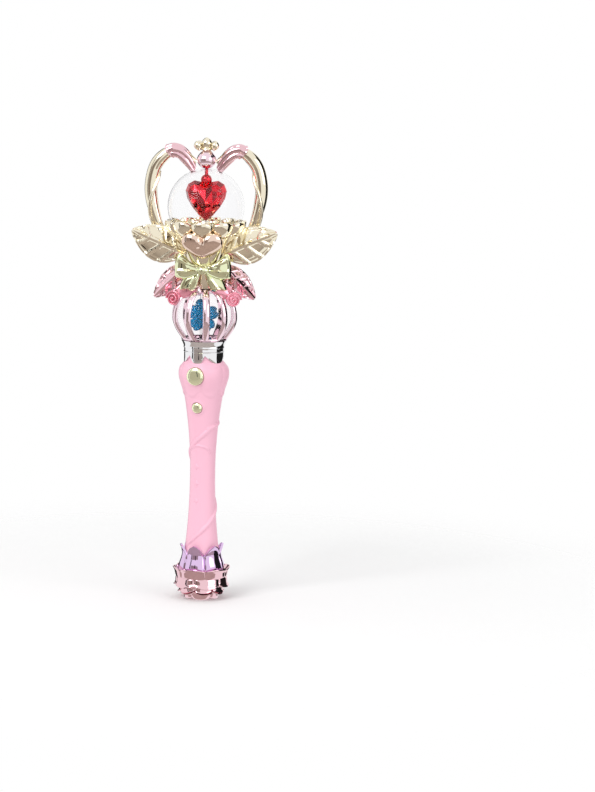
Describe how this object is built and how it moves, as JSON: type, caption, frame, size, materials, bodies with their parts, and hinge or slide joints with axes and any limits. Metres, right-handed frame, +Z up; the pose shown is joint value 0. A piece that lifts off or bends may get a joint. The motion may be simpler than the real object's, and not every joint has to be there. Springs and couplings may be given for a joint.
{
  "type": "toy magic wand",
  "caption": "Toy wand on a rose foot: slim grip with push buttons, caged globe with a blossom, plated head with leaves and a bow, and a heart under a clear dome in a heart-shaped hoop.",
  "frame": {"origin": "centre of the flat underside of the rose foot, on the surface that the wand stands on", "axes": "+Z up along the wand from foot to crown, front with the buttons and the bow towards -Y, +X to the viewer's right"},
  "size_m": [0.0952, 0.0533, 0.3159],
  "materials": {
    "grip_pink": "satin moulded plastic, pale pink",
    "gold_plated": "bright plated plastic, champagne gold",
    "rosy_plated": "bright plated plastic, rosy gold",
    "pink_plated": "bright plated plastic, pink",
    "lilac_plated": "bright plated plastic, lilac",
    "silver_plated": "bright plated plastic, silver",
    "lime_plated": "bright plated plastic, pale lime gold",
    "ruby_plated": "red lacquer over bright plating",
    "aqua_clear": "tinted see-through plastic, blue",
    "rose_clear": "tinted see-through plastic, rose",
    "clear_shell": "clear moulded plastic",
    "clear_pink_shell": "clear pale pink moulded plastic",
    "steel": "plain zinc-plated steel",
    "cell_steel": "polished steel can",
    "board_green": "green lacquered laminate",
    "black_plastic": "black moulded plastic and resin",
    "lamp_clear": "clear resin lamp",
    "wire_red": "soft plastic insulation, red",
    "wire_blue": "soft plastic insulation, blue"
  },
  "bodies": {
    "wand": {"pommel_rose": "pink_plated", "pommel_tulip": "lilac_plated", "pommel_plug": "grip_pink", "pommel_screw": "steel", "handle_front_shell": "grip_pink", "handle_back_shell": "grip_pink", "handle_screws": "steel", "button_cells": "cell_steel", "battery_contacts": "steel", "battery_spring": "steel", "battery_wires": "wire_red", "tactile_switches": "steel", "button_board": "board_green", "board_screws": "steel", "sound_chip": "black_plastic", "speaker": "black_plastic", "led_wires": "wire_blue", "collar": "silver_plated", "globe_cage": "pink_plated", "globe_liner": "clear_pink_shell", "globe_post": "clear_pink_shell", "blossom": "aqua_clear", "blossom_led": "lamp_clear", "cup_front_shell": "gold_plated", "cup_back_shell": "gold_plated", "cup_screw": "steel", "front_heart": "rosy_plated", "bow": "lime_plated", "gold_leaf_left": "gold_plated", "gold_leaf_right": "gold_plated", "pink_leaf_left": "pink_plated", "pink_leaf_right": "pink_plated", "rose_left": "rose_clear", "rose_right": "rose_clear", "heart_seat": "gold_plated", "heart_led": "lamp_clear", "heart_front": "ruby_plated", "heart_back": "ruby_plated", "heart_stem": "ruby_plated", "dome": "clear_shell", "hoop_left": "gold_plated", "hoop_right": "gold_plated", "ribbon_left": "pink_plated", "ribbon_right": "pink_plated", "bud": "pink_plated", "crown": "gold_plated"},
    "large_button": {"large_button": "lime_plated", "large_switch_plunger": "black_plastic"},
    "small_button": {"small_button": "lime_plated", "small_switch_plunger": "black_plastic"},
    "battery_door": {"battery_door": "grip_pink", "battery_door_screw": "steel"}
  },
  "joints": [
    {"name": "large_button_press", "type": "slide", "parent": "wand", "child": "large_button", "axis": [0, 1, 0], "range_m": [0, 0.001], "stiffness_N_per_m": 300, "springref_m": -0.0015},
    {"name": "small_button_press", "type": "slide", "parent": "wand", "child": "small_button", "axis": [0, 1, 0], "range_m": [0, 0.001], "stiffness_N_per_m": 300, "springref_m": -0.0015},
    {"name": "battery_door_lift", "type": "slide", "parent": "wand", "child": "battery_door", "axis": [0, 1, 0], "range_m": [0, 0.018]}
  ]
}
